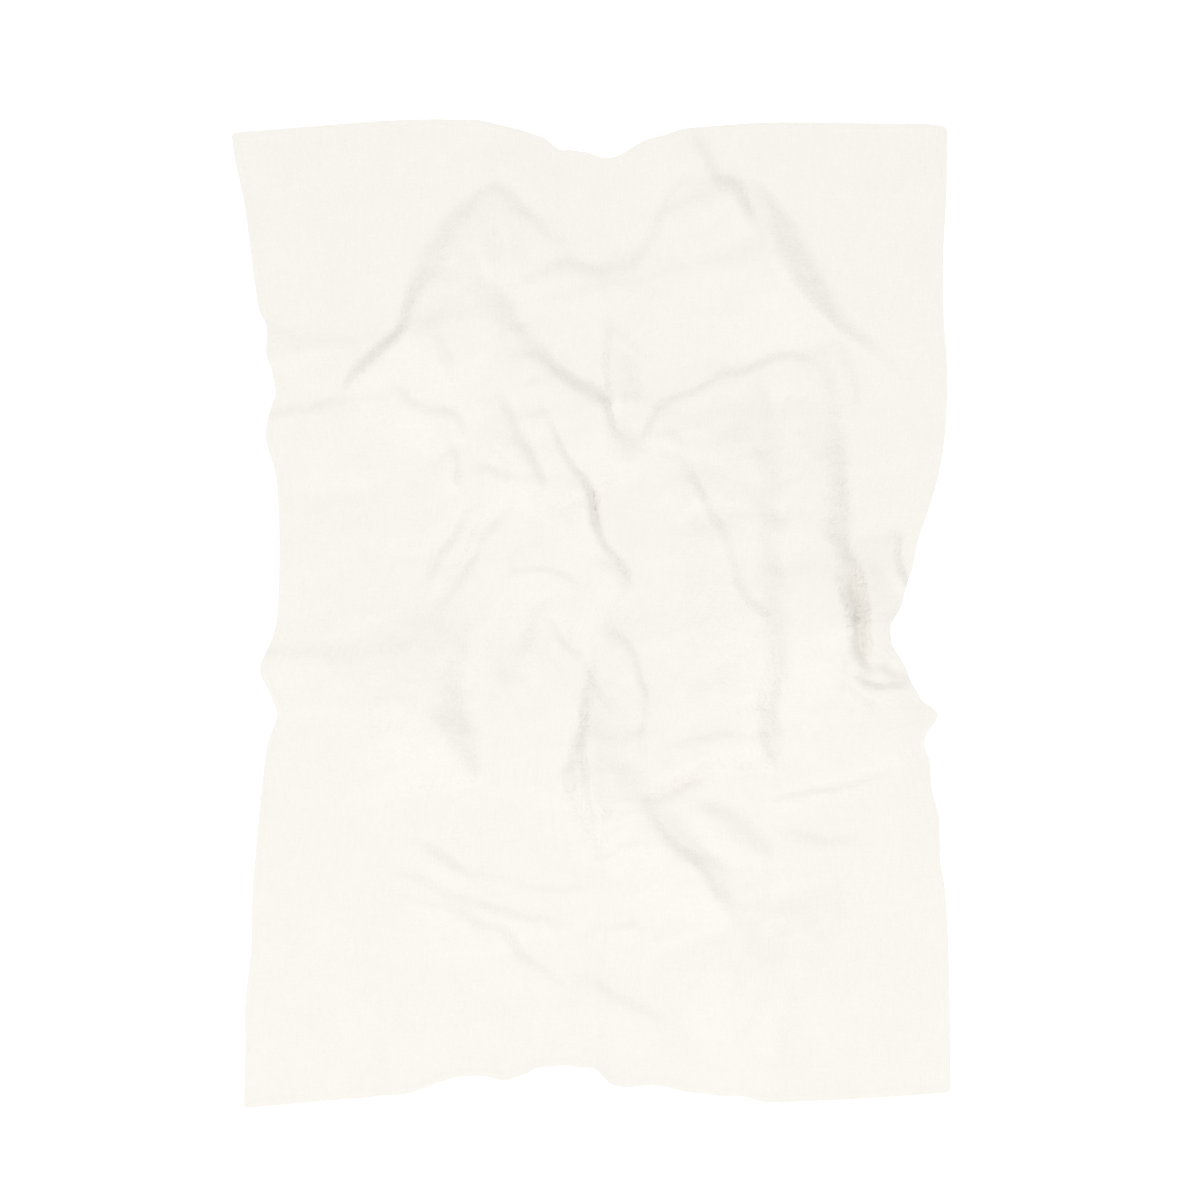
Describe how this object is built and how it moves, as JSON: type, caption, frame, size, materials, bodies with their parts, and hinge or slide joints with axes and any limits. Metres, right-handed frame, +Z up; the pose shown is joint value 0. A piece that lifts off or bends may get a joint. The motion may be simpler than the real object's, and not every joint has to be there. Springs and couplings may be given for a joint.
{
  "type": "crumpled duvet cover",
  "caption": "Plain washed linen duvet cover for a single bed, laid out flat with crumpled folds across its middle and a narrow hem all round.",
  "frame": {"origin": "on the surface that the cover lies on, under the middle of its box", "axes": "+X to its right side and +Y to its top end as seen from above, +Z up"},
  "size_m": [1.396, 1.9183, 0.0708],
  "materials": {
    "washed_linen": "washed linen in warm off-white, matt, with fine slubs and crinkles"
  },
  "bodies": {
    "root": {"duvet_cover": "washed_linen"}
  },
  "joints": []
}
